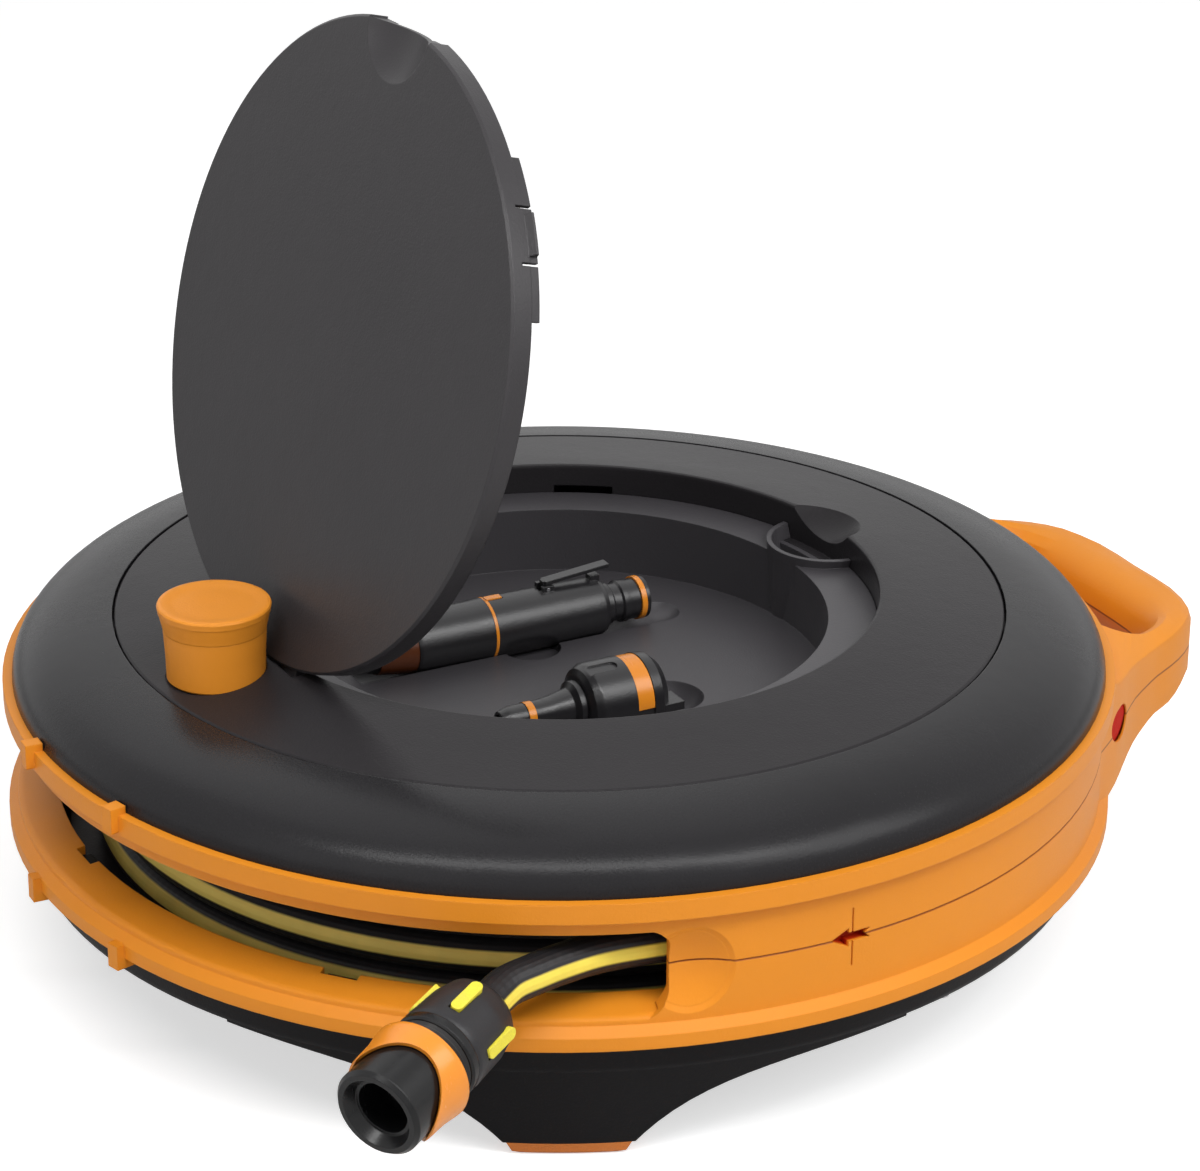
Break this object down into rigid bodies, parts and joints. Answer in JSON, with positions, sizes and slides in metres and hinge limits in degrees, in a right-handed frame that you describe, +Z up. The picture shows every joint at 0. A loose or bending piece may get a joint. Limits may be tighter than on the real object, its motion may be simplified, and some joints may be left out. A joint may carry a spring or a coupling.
{
  "type": "garden hose reel",
  "caption": "Enclosed garden hose reel: a hose drum turns in a ring frame with a carry handle, cranked by a knob on a top disc with a lidded accessory well.",
  "frame": {"origin": "on the floor under the middle of the ring frame and its handle", "axes": "+Z up, +Y towards the carry handle, +X along the lid's hinge"},
  "size_m": [0.5426, 0.6015, 0.4493],
  "materials": {
    "black_housing": "satin",
    "orange_shell": "satin",
    "orange_pad": "matte",
    "steel": "satin",
    "white_bearing": "satin",
    "hub_plastic": "satin",
    "orange_fitting": "glossy",
    "seal_rubber": "matte",
    "hose": "satin",
    "black_fitting": "glossy",
    "yellow_grip": "satin",
    "amber_metal": "polished"
  },
  "bodies": {
    "base": {"base_shell": "black_housing", "foot_pad_1": "orange_pad", "foot_pad_2": "orange_pad", "foot_pad_3": "orange_pad", "frame_lower": "orange_shell", "frame_upper": "orange_shell", "cover_ring": "black_housing", "tie_screws": "steel", "handle_screws": "steel", "hub_spindle": "hub_plastic", "spindle_screws": "steel", "hub_seals": "seal_rubber", "retaining_ring": "steel", "glide_ring": "white_bearing", "inlet_elbow": "hub_plastic", "inlet_pipe": "hub_plastic", "pipe_clips": "black_housing", "inlet_nipple": "orange_fitting", "nipple_seal": "seal_rubber", "hose_tail": "hose", "connector_nut": "black_fitting", "nut_grips": "yellow_grip", "connector_body": "black_fitting", "connector_seal": "seal_rubber", "collar_spring": "seal_rubber"},
    "collar": {"release_collar": "orange_fitting"},
    "drum": {"drum_spool": "black_housing", "hub_bush": "white_bearing", "outlet_elbow": "hub_plastic", "hose_clamp": "steel", "hose_lead": "hose", "hose_core": "hose", "hose_winding": "hose", "upper_flange": "black_housing", "crank_disc": "black_housing", "disc_screws": "steel", "storage_tub": "black_housing", "hinge_pin": "steel", "knob_axle": "steel", "nozzle_barrel": "black_fitting", "nozzle_ring": "orange_fitting", "nozzle_head": "black_fitting", "nozzle_collar": "amber_metal", "nozzle_tip": "black_fitting", "lever_pin": "steel", "nozzle_neck_ring": "orange_fitting", "tap_body": "black_fitting", "tap_band": "orange_fitting", "tap_nose": "black_fitting", "tap_nose_ring": "orange_fitting"},
    "knob": {"knob_body": "orange_shell", "knob_cap": "orange_shell"},
    "lid": {"lid": "black_housing"},
    "lever": {"nozzle_lever": "black_fitting"}
  },
  "joints": [
    {"name": "drum_spin", "type": "hinge", "parent": "base", "child": "drum", "pos_m": [0, -0.03325, 0.1], "axis": [0, 0, 1], "continuous": true},
    {"name": "knob_spin", "type": "hinge", "parent": "drum", "child": "knob", "pos_m": [0, -0.21525, 0.18], "axis": [0, 0, 1], "continuous": true},
    {"name": "lid_hinge", "type": "hinge", "parent": "drum", "child": "lid", "pos_m": [0, -0.18545, 0.16], "axis": [1, 0, 0], "range_deg": [-75.15, 0]},
    {"name": "collar_pull", "type": "slide", "parent": "base", "child": "collar", "axis": [-0.4381, 0.8864, 0.1495], "range_m": [0, 0.005], "stiffness_N_per_m": 500, "springref_m": -0.006, "deforming": ["collar_spring"]},
    {"name": "lever_press", "type": "hinge", "parent": "drum", "child": "lever", "pos_m": [-0.04349, -0.01588, 0.1447], "axis": [-0.998, 0.0628, 0], "range_deg": [0, 4.5], "stiffness_Nm_per_rad": 0.02, "springref_deg": -11.46}
  ]
}
